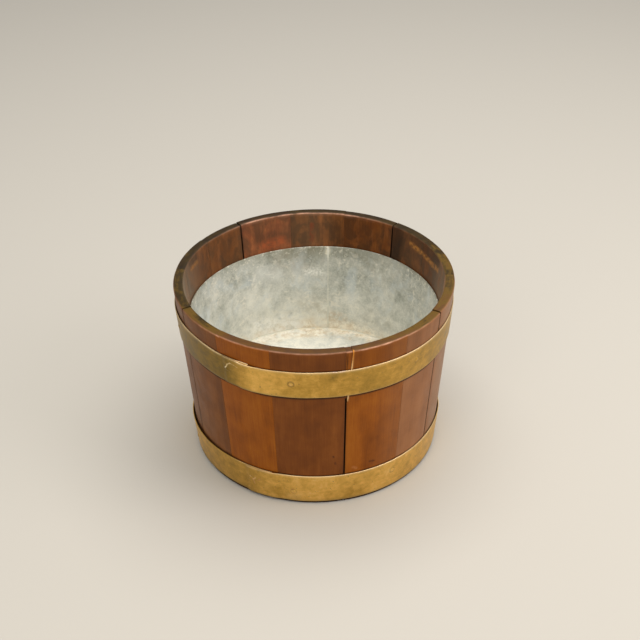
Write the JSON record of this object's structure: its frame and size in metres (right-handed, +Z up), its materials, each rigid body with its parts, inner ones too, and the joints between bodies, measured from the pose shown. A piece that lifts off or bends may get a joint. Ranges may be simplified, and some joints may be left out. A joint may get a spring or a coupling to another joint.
{
  "type": "planter",
  "caption": "Round tapered planter of wooden staves held by pinned brass bands, with a boarded bottom and a zinc liner that lifts out.",
  "frame": {"origin": "centre of the foot, on the ground", "axes": "+Z up along the tub's axis, -Y towards the front seen in the picture, +X to that view's right"},
  "size_m": [0.4436, 0.4436, 0.3],
  "materials": {
    "stave_umber": "satin varnish over dark mahogany, worn",
    "stave_brown": "satin varnish over brown mahogany, worn",
    "stave_amber": "satin varnish over orange-brown mahogany, worn",
    "stave_tan": "satin varnish over pale reddish mahogany, worn",
    "stave_red": "satin varnish over red mahogany, worn",
    "head_wood": "bare sawn boards, darkened by damp",
    "dowel_wood": "bare turned beech",
    "band_brass": "aged brass, mottled and softly polished",
    "pin_brass": "aged brass with darkened edges",
    "liner_zinc": "weathered zinc-coated sheet, mottled and stained",
    "solder": "dull solder"
  },
  "bodies": {
    "tub": {"stave_01": "stave_umber", "stave_02": "stave_amber", "stave_03": "stave_brown", "stave_04": "stave_amber", "stave_05": "stave_tan", "stave_06": "stave_tan", "stave_07": "stave_brown", "stave_08": "stave_umber", "stave_09": "stave_brown", "stave_10": "stave_umber", "stave_11": "stave_red", "stave_12": "stave_brown", "stave_13": "stave_brown", "stave_14": "stave_umber", "head_board_1": "head_wood", "head_board_2": "head_wood", "head_board_3": "head_wood", "head_board_4": "head_wood", "head_dowels": "dowel_wood", "upper_band": "band_brass", "upper_band_pins": "pin_brass", "lower_band": "band_brass", "lower_band_pins": "pin_brass"},
    "liner": {"liner_wall": "liner_zinc", "liner_floor": "liner_zinc", "liner_seam_solder": "solder", "liner_floor_solder": "solder"}
  },
  "joints": [
    {"name": "liner_lift", "type": "slide", "parent": "tub", "child": "liner", "axis": [0, 0, 1], "range_m": [0, 0.25]}
  ]
}
